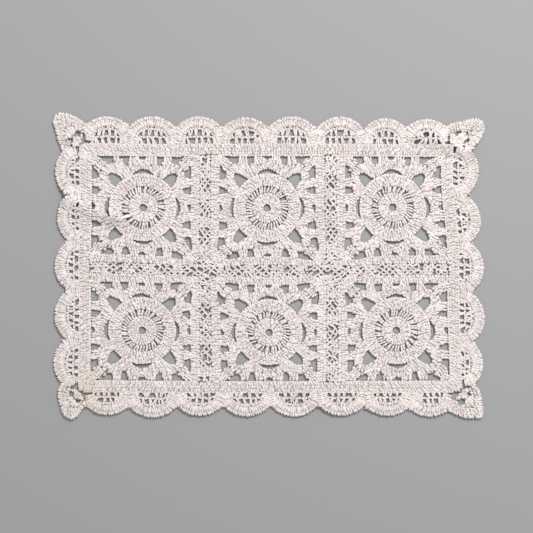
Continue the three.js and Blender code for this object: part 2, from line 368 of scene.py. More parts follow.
# ---- Meshes from arrays ----
class Skein:
    """The yarn or cloth of one piece, kept as arrays until the piece is made."""

    def __init__(self):
        self.points, self.tones = [], []
        self.quads, self.caps, self.uvs = [], [], []
        self.count = 0

    def add_grids(self, grids, closed, tone):
        """Adds N skins, each a grid of rings by sides whose sides close into a tube.

        A quad joins each pair of neighbours on two rings. An open skin has a cap on its first
        and last ring, and a closed one joins its last ring to its first. On the yarn's map, u is
        the length along the skin in metres, and v goes from 0 to 1 round it.
        """
        n, rings, sides, _ = grids.shape
        first = self.count + np.arange(n)[:, None, None] * rings * sides
        ring = np.arange(rings if closed else rings - 1)
        side = np.arange(sides)
        ring_ends = [((ring + step) % rings)[:, None] for step in (0, 1)]
        side_ends = [(side + step) % sides for step in (0, 1)]
        steps = np.linalg.norm(np.diff(grids.mean(2), axis=1), axis=-1)
        steps = [np.zeros((n, 1)), steps] + [steps[:, -1:]] * closed
        length = np.cumsum(np.concatenate(steps, axis=1), axis=1)
        u = [length[:, ring + step, None] for step in (0, 1)]
        v = [side / sides, side / sides + 1 / sides]
        around = ((0, 0), (1, 0), (1, 1), (0, 1))
        corners = [first + ring_ends[i] * sides + side_ends[j] for i, j in around]
        self.quads.append(np.stack(corners, axis=-1).reshape(-1, 4))
        uvs = [points_at(u[i], v[j]) for i, j in around]
        self.uvs.append(np.stack(uvs, axis=-2).reshape(-1, 2))
        if not closed:
            start = first[:, 0] + side
            end = first[:, 0] + (rings - 1) * sides + side[::-1]
            self.caps.append(np.concatenate([start, end]))
        self.points.append(grids.reshape(-1, 3))
        self.tones.append(np.broadcast_to(tone, grids.shape[:3]).ravel())
        self.count += n * rings * sides

    def add_strands(self, paths, radii, tone):
        """Adds N strands of yarn: rings of STRAND_SIDES points, square to each middle line.

        paths is N by rings by 3 in the even layout, and radii is the strand's at each ring.
        """
        middle = laid(paths)
        tangent = np.gradient(middle, axis=1)
        level = unit(np.cross(tangent, UP))
        steep = unit(np.cross(level, tangent))
        turn = 2 * np.pi * np.arange(STRAND_SIDES)[:, None] / STRAND_SIDES
        circle = np.cos(turn) * level[:, :, None] + np.sin(turn) * steep[:, :, None]
        grids = middle[:, :, None] + radii[..., None, None] * MM * circle
        self.add_grids(grids, False, tone[:, None, None])

    def make(self, name, material):
        """Makes the piece's mesh object, smooth shaded, with its yarn map and its tones."""
        faces = self.quads + self.caps
        loops = np.concatenate([corners.ravel() for corners in faces])
        sizes = np.concatenate([np.full(len(corners), corners.shape[1]) for corners in faces])
        uvs = np.concatenate(self.uvs + [np.zeros((caps.size, 2)) for caps in self.caps])
        mesh = bpy.data.meshes.new(name)
        mesh.vertices.add(self.count)
        mesh.vertices.foreach_set("co", np.concatenate(self.points).ravel().astype(np.float32))
        mesh.loops.add(len(loops))
        mesh.loops.foreach_set("vertex_index", loops.astype(np.int32))
        mesh.polygons.add(len(sizes))
        mesh.polygons.foreach_set("loop_start", (np.cumsum(sizes) - sizes).astype(np.int32))
        mesh.update(calc_edges=True)
        yarn_map = mesh.uv_layers.new(name="yarn")
        yarn_map.uv.foreach_set("vector", uvs.ravel().astype(np.float32))
        tones = mesh.attributes.new("tone", "FLOAT", "POINT")
        tones.data.foreach_set("value", np.concatenate(self.tones).astype(np.float32))
        mesh.polygons.foreach_set("use_smooth", np.ones(len(sizes), dtype=bool))
        mesh.validate()
        mesh.update()
        mesh.materials.append(material)
        return added(name, mesh)


# ---- Stitches ----
class Hook:
    """Works stitches of one yarn, and the cloth under them, with a seeded unevenness."""

    def __init__(self, yarn, seed):
        self.stitches, self.cloth = Skein(), Skein()
        self.cloth_area = 0.0
        self.strand = yarn.strand_radius / MM
        self.loft = yarn.unevenness
        self.rng = np.random.default_rng(seed)

    def astray(self, by, shape, middle=0.0):
        """An array of random values, spread about the middle by so much of the unevenness."""
        return self.rng.normal(middle, by * self.loft, shape)

    def tones(self, count):
        """A shade for each stitch, a little lighter or darker than the yarn's colour."""
        return 1 + self.rng.normal(0, 0.05, count)

    def posts(self, feet, heads, radius=1.2, wind=0.7, twist=0.16, rings=5, height=1.2, stray=1.0):
        """Posts of two strands wound round each other, from feet to heads.

        At the share v of its way, a strand stands wind cos(phase) to the side of the post's
        middle line and 0.82 wind sin(phase) above it. The phase turns twist times a millimetre,
        and the other strand is half a turn on. Both close in at the ends, by
        0.6 + 0.4 sin(pi v)^0.4, and taper by 0.6 + 0.4 sin(pi v)^0.6. The post bows sideways by
        a random share of sin(pi v), and lies a little higher or lower than the next.
        """
        length = np.linalg.norm(heads - feet, axis=1, keepdims=True)
        long_enough = length[:, 0] > SHORTEST_POST
        feet, heads, length = feet[long_enough], heads[long_enough], length[long_enough]
        count = len(feet)
        if not count:
            return
        share = np.linspace(0, 1, rings)
        arch = np.sin(np.pi * share)
        feet = feet + self.astray(0.16 * stray, feet.shape)
        heads = heads + self.astray(0.24 * stray, heads.shape)
        way = heads - feet
        side = quarter(way, 1) / length
        bow = self.astray(0.2, (count, 1)) * arch
        hold = 0.6 + 0.4 * arch**0.4
        phase = self.astray(0.5, (count, 1), 0.9) + 2 * np.pi * twist * length * share
        lift = height + self.astray(0.16, (count, 1))
        tone = self.tones(count)
        plump = 1 + self.astray(0.1, (count, 1))
        radii = self.strand * radius * (0.6 + 0.4 * arch**0.6) * plump
        for strand in (0, np.pi):
            off = wind * hold * np.cos(phase + strand) + bow
            rise = lift + 0.82 * wind * hold * np.sin(phase + strand)
            flat = feet[:, None] + share[:, None] * way[:, None] + off[..., None] * side[:, None]
            self.stitches.add_strands(raised(flat, rise), radii, tone)

    def chain(self, curve, pitch=3.0, height=1.2):
        """A chain of V-shaped stitches along a curve, pitch apart.

        Each has two plump legs that start wide apart and close on the next stitch. At the share
        v, a leg is at 1.15 v - 0.1 of the stitch, 0.62 (1 - 0.8 v) to its side, higher by
        0.42 sin(pi v) - 0.25 v, and as thick as 0.55 + 0.5 sin(pi v).
        """
        length = lengths_along(curve)
        count = max(1, round(length[-1] / pitch))
        knots = np.interp(np.linspace(0, length[-1], count + 1), length, np.arange(len(curve)))
        ends = picked(curve, knots)
        way = np.diff(ends, axis=0)
        start = ends[:-1] + self.astray(0.13, way.shape)
        side = unit(quarter(way, 1))
        share = np.linspace(0, 1, 3)
        arch = np.sin(np.pi * share)
        tone = self.tones(count)
        lean = self.astray(0.14, (count, 1))
        lift = height + self.astray(0.1, (count, 1))
        plump = 1 + self.astray(0.07, (count, 1))
        rise = lift + 0.42 * arch - 0.25 * share
        radii = self.strand * 1.1 * (0.55 + 0.5 * arch) * plump
        for hand in (-1, 1):
            off = (hand * 0.62 * (1 - 0.8 * share) + lean)[..., None] * side[:, None]
            flat = start[:, None] + (1.15 * share - 0.1)[:, None] * way[:, None] + off
            self.stitches.add_strands(raised(flat, rise), radii, tone)

    def course(self, base, top, pitch=2.5, closed=False, jitter=0.16, lean=0.0, shift=0.0, **shape):
        """A course of posts between two curves, evenly along the far one, each a little astray.

        They are pitch apart three quarters of the way out. The first stands half a pitch from
        the start, and shift pitches further on. Each head is lean millimetres further along than
        its foot, give or take.
        """
        count = max(1, round(lengths_along(base * 0.25 + top * 0.75)[-1] / pitch))
        length = lengths_along(top)
        last = len(top) - 1
        shares = (np.arange(count) + 0.5 + shift + self.rng.normal(0, jitter, count)) / count
        places = np.interp(np.mod(shares, 1) * length[-1], length, np.arange(len(top)))
        heads = places + (lean + self.astray(0.35, count)) * last / length[-1]
        heads = np.mod(heads, last) if closed else np.clip(heads, 0, last)
        self.posts(picked(base, places), picked(top, heads), **shape)

    def grain(self, base, top, rows, pitch=2.6, closed=False, **shape):
        """Rows of short plump posts that fill the cloth between two curves.

        Each row runs a little into the next one, leans against it, and has its posts between the
        next one's.
        """
        for row in range(rows):
            near = base + (top - base) * max(row - 0.1, 0) / rows
            far = base + (top - base) * min(row + 1.1, rows) / rows
            odd = row % 2
            lay = {"lean": (0.6, -0.6)[odd], "shift": 0.5 * odd}
            self.course(near, far, pitch, closed, **lay, **{**GRAIN_POSTS, **shape})

    def ground(self, inner, outer, closed=False):
        """Works a thin strip of close cloth between two curves of the even layout.

        Round its section, at a turn t, it stands at the share (1 - cos t) / 2 of the way from
        inner to outer, and half its thickness times sin t below its middle. Its upper side is
        painted shade: its dark colour stands for the shaded depth between the stitches. Its lower
        side is lighter, as plain cloth. The flat area is the sum of half the cross product of each
        quad's diagonals.
        """
        if closed:
            inner, outer = inner[:-1], outer[:-1]
        way = outer - inner
        turn = 2 * np.pi * np.arange(CLOTH_SIDES) / CLOTH_SIDES
        if cross(np.gradient(inner, axis=0), way).sum() < 0:
            turn = -turn
        after = np.roll(np.arange(len(inner)), -1) if closed else np.arange(1, len(inner))
        here = np.arange(len(after))
        diagonals = outer[after] - inner[here], outer[here] - inner[after]
        self.cloth_area += np.abs(cross(*diagonals)).sum() / 2 * MM**2
        share = (1 - np.cos(turn)) / 2
        flat = inner[:, None] + share[:, None] * way[:, None]
        grid = laid(raised(flat, CLOTH_HEIGHT - CLOTH_THICKNESS / 2 * np.sin(turn)))
        # Painted shade: the top keeps the dark ground colour, for the shade between the stitches,
        # and the underside is lifted to a lighter tone, as plain cloth.
        tone = np.where(np.sin(turn) > 0.1, UNDERSIDE_OVER_PAINTED_SHADE, 1.0)
        self.cloth.add_grids(grid[None], closed, tone)


# ---- Motifs ----
def from_axis(angle):
    """The angle to the nearest axis, in degrees from -45 to 45."""
    return np.mod(np.degrees(angle) + 45, 90) - 45


def opening_edge(angle):
    """The far side of the round of openings: crescents on the axes, hearts on the diagonals.

    A crescent stands at its radius plus rise cos(90 degrees t), a heart at its tip plus
    rise (1 - t^2), with t from -1 to 1 across it, and the cloth between them at its own radius.
    """
    axis = np.abs(from_axis(angle)) / CRESCENT["half_angle"]
    diagonal = np.abs(from_axis(angle + np.pi / 4)) / HEART["half_angle"]
    crescent = CRESCENT["radius"] + CRESCENT["rise"] * np.cos(np.pi / 2 * np.minimum(axis, 1))
    heart = HEART["tip"] + HEART["rise"] * (1 - np.minimum(diagonal, 1) ** 2)
    edge = np.where(axis < 1, crescent, ANCHOR_RADIUS)
    return np.where(diagonal < 1, heart, edge)


def loop_edge(angle):
    """The far edge of the round of loops, read off its table by the angle from the axis."""
    return np.interp(np.abs(from_axis(angle)), LOOP_EDGE["from_axis"], LOOP_EDGE["radius"])


def loop_edge_out(along):
    """How far out from the centre that edge is, at a distance along a side from its middle."""
    angle = np.radians(np.linspace(0, 45, 91))
    edge = polar(loop_edge(angle), angle)
    return np.interp(np.abs(along), edge[:, 1], edge[:, 0])


def gap_depth(along):
    """How deep the gap at a distance along a side from its middle reaches in from the edge."""
    along = np.abs(along)
    corner, plain = (np.interp(along, gap["along"], gap["depth"]) for gap in (CORNER_GAP, GAPS))
    return np.where(along > CORNER_GAP["along"][0], corner, plain)


def squeezed(points, joined):
    """Points of a motif with its joined sides drawn in.

    Past SQUEEZE_FROM towards a joined side, a distance from the centre grows only by SQUEEZE.
    That fades out along the side towards a corner where four motifs meet.
    """
    drawn = points.copy()
    fade_from, fade_over = SQUEEZE_FADE
    for side, is_joined in enumerate(joined):
        if is_joined:
            axis, sign = ((1, -1), (0, 1), (1, 1), (0, -1))[side]
            ahead, behind = ((1, 3), (2, 0))[side % 2]
            along = points[..., 1 - axis]
            meets = np.where(along > 0, joined[ahead], joined[behind])
            fade = 1 - meets * np.clip((np.abs(along) - fade_from) / fade_over, 0, 1)
            past = np.maximum(points[..., axis] * sign - SQUEEZE_FROM, 0)
            drawn[..., axis] -= sign * past * (1 - SQUEEZE) * fade
    return drawn


def mesh_edge(side):
    """How far out from a motif's centre the mesh along a side starts."""
    return PITCH[1 - side % 2] / 2 - MESH_HALF


class Motif:
    """One square motif: where it lies, which of its sides are joined, and its hook.

    Its sides are numbered anticlockwise from the bottom one.
    """

    def __init__(self, column, row, hook):
        self.centre = np.array([(column - 1) * PITCH[0], (row - 0.5) * PITCH[1]])
        self.joined = (row > 0, column < len(COLUMNS) - 1, row < len(ROWS) - 1, column > 0)
        self.hook = hook

    def place(self, points, side=0):
        """Points of the motif's bottom side, or of another side, brought into the layout."""
        return squeezed(quarter(points, side), self.joined) + self.centre

    def on_side(self, side, along, out):
        """Places along a side from its middle, and out from the motif's centre."""
        return self.place(points_at(along, -out), side)

    def ring(self, radius, turn=0.0, steps=120):
        """A circle round the motif's centre, turned a little."""
        return self.place(polar(radius, np.linspace(0, 2 * np.pi, steps + 1) + turn))

    def rounds(self):
        """The rounds from the centre to the openings, each on a circle."""
        hook, ring = self.hook, self.ring
        hook.chain(ring(CENTRE_RING), height=1.35)
        hook.grain(ring(DISC_ROUND[0]), ring(DISC_ROUND[1]), 3, closed=True)
        feet, heads = ring(OPEN_ROUND[0] - TUCK, turn=0.09), ring(OPEN_ROUND[1] + TUCK)
        hook.course(feet, heads, closed=True, **OPEN_POSTS)
        hook.grain(ring(RING_ROUND[0]), ring(RING_ROUND[1] - 0.9), 4, closed=True, height=1.3)
        hook.chain(ring(RING_ROUND[1] - 0.8), height=1.45)
        for steps, near, far in (
            (36, 4.8, DISC_ROUND[1] + 0.5), (60, RING_ROUND[0], RING_ROUND[1] - 0.2),
        ):
            hook.ground(ring(near, steps=steps), ring(far, steps=steps), closed=True)

    def loops(self):
        """The round of loops: it is anchored to the ring between the openings."""
        angle = np.linspace(0, 2 * np.pi, 721)
        near = polar(opening_edge(angle), angle)
        far = polar(loop_edge(angle), angle)
        foot = near + TUCK * polar(1, angle)
        anchored = np.hypot(near[:, 0], near[:, 1]) < ANCHOR_RADIUS + 0.1
        foot[anchored] -= 0.6 * polar(1, angle[anchored])
        self.hook.grain(self.place(foot), self.place(far * 1.01), 3, closed=True, jitter=0.2)
        foot, far = (self.place(line)[::COARSE] for line in (foot, far * 0.984))
        self.hook.ground(foot, far, closed=True)

    def sides(self):
        """The last round, open in gaps along each side, and the chain that squares the motif."""
        reach = SQUARE_EDGE + 0.8
        for side, is_joined in enumerate(self.joined):
            self.field(side)
            self.corner(side)
            if not is_joined:
                edge = self.on_side(side, np.linspace(-1, 1, 41) * reach, reach)
                self.hook.chain(edge, pitch=EDGE_PITCH)
        square = (self.place(rectangle(SQUARE_EDGE + out, 12)) for out in (-0.1, 1.8))
        self.hook.ground(*square, closed=True)

    def field(self, side):
        """One side's posts and cloth, from the loops out to the side or to the edge of a gap."""
        along = np.linspace(-FIELD_REACH, FIELD_REACH, 139)
        loops = loop_edge_out(along)
        feet = self.on_side(side, along * 0.99, loops - TUCK)
        edge = self.on_side(side, along, SQUARE_EDGE - gap_depth(along))
        self.hook.grain(feet, edge, 2, 2.35, jitter=0.1)
        # The cloth under the posts keeps a little clear of the gaps.
        near = [gap_depth(along + step) for step in (-1.4, -0.7, 0.0, 0.7, 1.4)]
        edge = np.maximum(SQUARE_EDGE - (np.max(near, axis=0) * 1.07 + 0.3), loops - 0.9)
        feet, edge = (self.on_side(side, along, out)[::2] for out in (loops - 0.9, edge))
        self.hook.ground(feet, edge)

    def corner(self, side):
        """The strip of cloth that runs out along a diagonal to the square's corner.

        Its foot and its waist are straight lines across the diagonal, and its head follows the
        square's corner. The cloth leaves out the strip's edges.
        """
        diagonal, across = np.array([[1, -1], [1, 1]]) / np.sqrt(2)
        share = np.linspace(-1, 1, 9)[:, None]
        feet, waist = (
            out * diagonal + half * share * across
            for out, half in (CORNER_STRIP["foot"], CORNER_STRIP["waist"])
        )
        reach, start = SQUARE_EDGE - 0.2, CORNER_STRIP["head"]
        heads = bent((start, -reach), (reach, -reach), (reach, -start))
        for near, far, stray in ((feet, waist, 0.8), (waist - TUCK * diagonal, heads, 1.3)):
            near, far = self.place(near, side), self.place(far, side)
            self.hook.grain(near, far, 2, jitter=0.06, stray=stray)
        lines = [self.place(line[1:-1], side) for line in (feet - diagonal, waist, heads)]
        for near, far in pairwise(lines):
            self.hook.ground(near, far)

    def borders(self):
        """The plain course on each joined side, cut off where four motifs meet."""
        square = SQUARE_EDGE + 1.6
        for side, is_joined in enumerate(self.joined):
            if not is_joined:
                continue
            ends = []
            for hand in (-1, 1):
                neighbour = (side + hand) % 4
                reach = (SEAM, SEAM)
                if self.joined[neighbour]:
                    reach = (square, mesh_edge(neighbour) - CORNER_CUT)
                ends.append(hand * np.array(reach))
            near, far = np.linspace(*ends, 73).T
            # The stitches start further in beside each gap than at its middle, and round it off.
            rounding = np.clip(gap_depth(near) / BORDER_DEPTH, 0, 1)
            start = SQUARE_EDGE + BORDER_START + BORDER_DRIFT * rounding
            base, under = (self.on_side(side, near, out) for out in (start, start + 1.5))
            edge = quarter(points_at(far, 0.5 - mesh_edge(side)), side) + self.centre
            self.hook.grain(base, edge, 3, 2.4)
            self.hook.ground(under[::2], edge[::2])
            if self.joined[(side + 1) % 4]:
                self.cut_corner(side, square - 1.8, mesh_edge(side))

    def cut_corner(self, side, inner, out):
        """The few stitches that fill the corner between two borders, up to the cut."""
        cut = out - CORNER_CUT
        feet = bent((inner - 4.0, -inner), (inner, -inner), (inner, 4.0 - inner))
        heads = bent((cut + 1.0, 1.2 - out), (out - 3.2, 3.2 - out), (out - 1.2, -cut - 1.0))
        feet, heads = (quarter(line, side) + self.centre for line in (feet, heads))
        self.hook.grain(feet, heads, 3, 2.3)
        self.hook.ground(feet, heads)


# ---- The joining mesh ----
def knots(hook, length, across, odd, step, stray=0.5):
    """A row of knots along x, about a step apart; odd rows are half a step on."""
    count = round(length / step)
    row = points_at((np.arange(count) + 0.25 + 0.5 * odd) * length / count, across)
    return row + hook.rng.normal(0, 1, row.shape) * (stray, stray * 0.6)


def net(hook, rows, drop, **shape):
    """Threads between rows of knots: each knot is tied to its two nearest in the next row.

    rows are arrays of knots, and every second one is half a step along. A share of the threads,
    drop, is left out at random, so that some of the gaps run together.
    """
    feet, heads = [], []
    for near, far in pairwise(rows):
        apart = np.linalg.norm(near[:, None] - far[None], axis=-1)
        nearest = np.argsort(apart, axis=1)[:, :2]
        feet.append(np.repeat(near, 2, axis=0))
        heads.append(far[nearest].reshape(-1, 2))
    feet, heads = np.concatenate(feet), np.concatenate(heads)
    keep = hook.rng.random(len(feet)) > drop
    hook.posts(feet[keep], heads[keep], **NET_POSTS, **shape)


def mesh_strip(hook, length, place, crossings=()):
    """A strip of mesh along x: a net of thick threads, closed here and there by short posts.

    Its knots are in five rows, so its gaps lie as bricks do, longer along the strip than
    across. The closed places are groups of posts from row to row, clear of the crossings.
    """
    rng = hook.rng
    rows = [
        knots(hook, length, across, number % 2, KNOT_PITCH, 1.0)
        for number, across in enumerate(MESH_LINES)
    ]
    net(hook, [place(row) for row in rows], 0.08, radius=1.1, wind=0.55)
    closings = np.arange(12.0, length - 6, CLOSING_PITCH)
    closings += rng.normal(0, 3.0, len(closings))
    for crossing in crossings:
        closings = closings[np.abs(closings - crossing) > CLOSING_CLEAR]
    for near, far in pairwise(MESH_LINES):
        bars = (closings[:, None] + CLOSING_BARS).ravel()
        bars = bars + rng.normal(0, 0.6, len(bars))
        feet = points_at(bars, near)
        heads = points_at(bars + rng.normal(0, 0.8, len(bars)), far)
        hook.posts(place(feet), place(heads), **BAR_POSTS)


def mesh_crossing(hook, middle):
    """The wider net where four motifs meet: rows of knots, shorter away from the middle."""
    for sign in (-1, 1):
        rows = []
        for number, out in enumerate(CROSSING_ROWS):
            half = CROSSING_HALF - out
            row = knots(hook, 2 * half, sign * out, number % 2, CROSSING_PITCH)
            rows.append(row - np.array([half, 0]) + middle)
        net(hook, rows, drop=0.1, radius=0.95, wind=0.45)


# ---- The edging ----
def scallop_outline(angle, width, crown):
    """A scallop's radius from the middle of its foot at an angle, and whether it is the arc's.

    The arc has SCALLOP_RADIUS, and its crown is at the crown's height. Where the upright line
    that the scallop shares with the next one is nearer, the radius is that line's.
    """
    drop = crown - SCALLOP_RADIUS
    arc = drop * np.sin(angle) + np.sqrt(SCALLOP_RADIUS**2 - (drop * np.cos(angle)) ** 2)
    line = width / 2 / np.abs(np.cos(angle))
    return np.minimum(arc, line), arc < line


def dome(angle, half_width, height):
    """The lattice's outline: |x / half_width|^2.6 + |y / height|^2.6 = 1, as a radius."""
    across, up = np.abs(np.cos(angle)) / half_width, np.sin(angle) / height
    return (across**DOME_POWER + up**DOME_POWER) ** (-1 / DOME_POWER)


def rim(hook, place, edge):
    """The last row of an edging: plump stitches side by side, square to its edge."""
    out = quarter(unit(np.gradient(edge, axis=0)), 3)
    near, far = (place(edge + distance * out) for distance in RIM_ROW)
    hook.course(near, far, **RIM_POSTS)


def scallop(hook, place, width, crown, lattice_height, opened):
    """One scallop: a lattice of posts under a dome, and a fan of tall posts round it.

    Round the crown the fan stands off the dome on a few short posts, by CROWN_STAND times
    exp(-t^4), where t is 1 at 30 degrees from the crown. Beside an ear it is opened at its foot,
    by so many degrees at its start and at its end.
    """
    angle = np.radians(np.linspace(3 + opened[0], 177 - opened[1], 175))
    outline, on_arc = scallop_outline(angle, width, crown)
    half_width = LATTICE_HALF * width / LATTICE_SCALLOP
    inner = dome(angle, half_width, lattice_height)
    stand = CROWN_STAND * np.exp(-(((np.degrees(angle) - 90) / 30) ** 4))
    foot = inner + 1.2 + stand
    crowning = stand > 0.8

    def at(radius, where=slice(None)):
        """Points at a radius from the middle of the foot, all round or where asked."""
        return place(polar(radius, angle)[where])

    hook.course(at(foot), at(outline + np.where(on_arc, -FAN_END, 0.9)), **FAN_POSTS)
    rim(hook, place, polar(outline, angle)[on_arc])
    hook.chain(at(inner + 0.5))
    hook.course(at(inner + 0.9, crowning), at(foot + 0.3, crowning), **CROWN_POSTS)
    edge = outline + np.where(on_arc, -1.4, 0.6)
    hook.ground(at(inner + stand)[::COARSE], at(edge)[::COARSE])
    lattice(hook, place, half_width, lattice_height)


def lattice(hook, place, half_width, height):
    """Two rows of thick posts under a scallop's dome, in leaning pairs, with a chain between.

    A pair stands on each side of every cell, its two posts apart at one end and close together
    at the other. Here and there a single post divides a cell.
    """
    rng = hook.rng
    waist = height * 0.5
    sides = LATTICE_CELLS + 1
    lines = np.linspace(-0.97, 0.97, sides) * half_width

    def pairs(at_foot, at_head):
        """The places along the scallop of the feet and of the heads of a row's posts."""
        middles = lines + rng.normal(0, 0.55, sides)
        lean = rng.normal(0, 1.9, sides)
        apart = rng.uniform(0.2, 0.42, sides)
        feet, heads = (
            np.concatenate([middle - spread * apart, middle + spread * apart])
            for middle, spread in ((middles, at_foot), (middles + lean, at_head))
        )
        between = (lines[:-1] + lines[1:]) / 2
        extra = between[rng.random(LATTICE_CELLS) < 0.08] + rng.normal(0, 0.5)
        return np.concatenate([feet, extra]), np.concatenate([heads, extra + rng.normal(0, 1.0)])

    def under_dome(x, down):
        """The dome's height at a place across it, less a little."""
        share = np.minimum(np.abs(x) / half_width, 0.995)
        return np.maximum(height * (1 - share**DOME_POWER) ** (1 / DOME_POWER) - down, 0.4)

    def row(feet, foot_height, heads, head_height):
        """A row of posts between two heights."""
        feet, heads = points_at(feet, foot_height), points_at(heads, head_height)
        hook.posts(place(feet), place(heads), **LATTICE_POSTS)

    feet, heads = pairs(WIDE, CLOSE)
    row(feet, 0.1, heads, np.minimum(waist - 0.5, under_dome(heads, 0)))
    feet, heads = pairs(CLOSE, WIDE)
    row(feet, np.minimum(waist + 0.4, under_dome(feet, 0.5)), heads, under_dome(heads, -0.6))
    across = np.linspace(-1, 1, 21) * half_width
    wavy = waist + 0.6 * np.sin(across * 0.8 + rng.uniform(0, 6))
    hook.chain(place(points_at(across, np.minimum(wavy, under_dome(across, 0)))), pitch=3.4)


def ear_outline(ear):
    """An ear's outline: its points' angles and radii, and which are on the ear itself.

    The radius is read off the table and smoothed by a bell curve. Past a valley it falls a little.
    """
    lean, reach = (np.array(ear[name], dtype=float) for name in ("lean", "reach"))
    fine = np.linspace(lean[0] - 16, lean[-1] + 16, 241)
    past = np.maximum(np.maximum(lean[0] - fine, fine - lean[-1]), 0)
    radius = np.interp(fine, lean, reach) - 0.22 * past
    bell = np.exp(-((fine[:, None] - fine[None]) ** 2) / (2 * EAR_BLUR**2))
    return np.radians(fine - 45), bell @ radius / bell.sum(1), past == 0


def ear_piece(hook, side):
    """The ear at a corner: rows of posts round its edge, and rays of posts between its holes.

    A hole is an ellipse in degrees and radius. The rays and their cloth run from the corner up
    to the holes, and from there on to the rows round the edge.
    """
    ear = EARS[side]
    corner = np.array([BAND_HALF[side % 2], -BAND_HALF[1 - side % 2]])
    angle, outline, on_ear = ear_outline(ear)
    inner = np.maximum(EAR_ROWS * outline, EAR_CLEAR)

    def place(points):
        """Points from the band's corner, brought into the layout."""
        return quarter(corner + points, side)

    def at(radius, turn=angle):
        """Points at a radius from the band's corner and a turn."""
        return place(polar(radius, turn))

    hook.grain(at(inner - 0.2), at(outline - np.where(on_ear, FAN_END, 0.6)), 4)
    rim(hook, place, polar(outline, angle)[on_ear])
    hook.ground(at(inner)[::COARSE], at(outline - 1.6)[::COARSE])
    lean = np.linspace(ear["lean"][0] - 8, ear["lean"][-1] + 8, 121)
    turn = np.radians(lean - 45)
    middle, half, out, reach = np.array(ear["holes"]).T
    waist = np.interp(lean, middle, out)
    round_hole = 1 - ((lean[:, None] - middle) / half) ** 2
    gap = (reach * np.sqrt(np.maximum(round_hole, 0))).sum(1)
    low, high, foot = waist - gap, waist + gap, np.interp(turn, angle, inner)
    hook.grain(at(1.4, turn), at(low - 0.3, turn), 2)
    hook.course(at(high + 0.3, turn), at(np.maximum(foot, high + 1), turn), 2.3)
    for near, far in ((0.2, low), (high, np.maximum(foot, high + 0.4))):
        hook.ground(*(at(radius, turn)[6:-5:3] for radius in (near, far)))


# ---- Materials ----
def new_material(name, values):
    """A material, and its shader with these values on its sockets."""
    material = bpy.data.materials.new(name)
    material.use_nodes = True
    shader = material.node_tree.nodes["Principled BSDF"]
    for socket, value in values.items():
        shader.inputs[socket].default_value = value
    return material, shader


def cotton(kind, yarn):
    """Soft matt cotton: the strand's plies as a bump along its map, fuzz, and faint stains.

    The ground cloth has no plies, but bumps as coarse as its stitches. Its colour is painted
    shade: it is dark, and its strong coarse spots stand for the shade in the pits between the
    stitches. The colour is scaled by slow clouds and these spots, fine and faint on the yarn as
    its fuzz, and by each stitch's own tone. A stain fades to nothing at its radius. The plies'
    height is |sin((2 pi u / ply length + 2 pi v plies) / 2)|.
    """
    ground = kind == "ground"
    name = "ground cloth" if ground else f"{kind} yarn"
    if name in bpy.data.materials:
        return bpy.data.materials[name]
    material, shader = new_material(name, COTTON)
    tree = material.node_tree

    def node(node_type, inputs, **settings):
        """A node with these settings, whose inputs are values or other nodes' outputs."""
        made = tree.nodes.new("ShaderNode" + node_type)
        for key, value in settings.items():
            setattr(made, key, value)
        for key, value in inputs.items():
            if isinstance(value, bpy.types.NodeSocket):
                tree.links.new(value, made.inputs[key])
            else:
                made.inputs[key].default_value = value
        return made

    def math(operation, *values, clamp=False):
        inputs = dict(enumerate(values))
        return node("Math", inputs, operation=operation, use_clamp=clamp).outputs[0]

    place = node("TexCoord", {}).outputs["Object"]

    def noise(scale, detail):
        inputs = {"Vector": place, "Scale": scale, "Detail": detail}
        return node("TexNoise", inputs).outputs["Fac"]

    if ground:
        # Painted shade: strong coarse dark spots on the ground cloth, for the shade in the pits
        # between the stitches.
        fuzz_and_painted_shade = math("MULTIPLY_ADD", noise(480.0, 2.0), 0.8, 0.6)
        height = math("MULTIPLY", noise(560.0, 1.0), 6.0)
    else:
        fuzz_and_painted_shade = math("MULTIPLY_ADD", noise(900.0, 2.0), 0.12, 0.94)
        yarn_map = node("UVMap", {}, uv_map="yarn").outputs["UV"]
        split = node("SeparateXYZ", {0: yarn_map}).outputs
        wound = math("MULTIPLY", split["X"], 2 * np.pi / yarn.ply_length)
        round_strand = math("MULTIPLY", split["Y"], 2 * np.pi * yarn.plies)
        half_phase = math("MULTIPLY", math("ADD", wound, round_strand), 0.5)
        groove = math("MULTIPLY", math("ABSOLUTE", math("SINE", half_phase)), 0.9)
        height = math("ADD", groove, math("MULTIPLY", noise(1700.0, 3.0), 0.6))
    cloud = math("MULTIPLY_ADD", noise(26.0, 3.0), 0.1, 0.95)
    # On the ground cloth the tone lifts the underside above the painted shade of its top.
    tone = node("Attribute", {}, attribute_name="tone").outputs["Fac"]
    shade = math("MULTIPLY", math("MULTIPLY", cloud, fuzz_and_painted_shade), tone)
    colour = tuple(getattr(yarn, f"{kind}_colour"))
    tint = node("VectorMath", {0: colour, "Scale": shade}, operation="SCALE").outputs[0]
    for stain in STAINS:
        inputs = {0: place, 1: stain["at"]}
        away = node("VectorMath", inputs, operation="DISTANCE").outputs["Value"]
        fade = math("SUBTRACT", 1.0, math("DIVIDE", away, stain["radius"]), clamp=True)
        blot = math("MULTIPLY", math("MULTIPLY", fade, noise(90.0, 4.0)), stain["strength"])
        # Sockets 6 and 7 of a Mix node are its two colours, and output 2 is their mix.
        inputs = {0: blot, 6: tint, 7: stain["colour"]}
        tint = node("Mix", inputs, data_type="RGBA").outputs[2]
    bump = node("Bump", {"Strength": 0.55, "Distance": 0.00022, "Height": height})
    tree.links.new(tint, shader.inputs["Base Color"])
    tree.links.new(bump.outputs["Normal"], shader.inputs["Normal"])
    return material


# ---- Settings ----
def colour_setting(name, description, default):
    """A colour that the user can change."""
    return FloatVectorProperty(
        name=name, description=description, default=default, size=3, subtype="COLOR"
    )


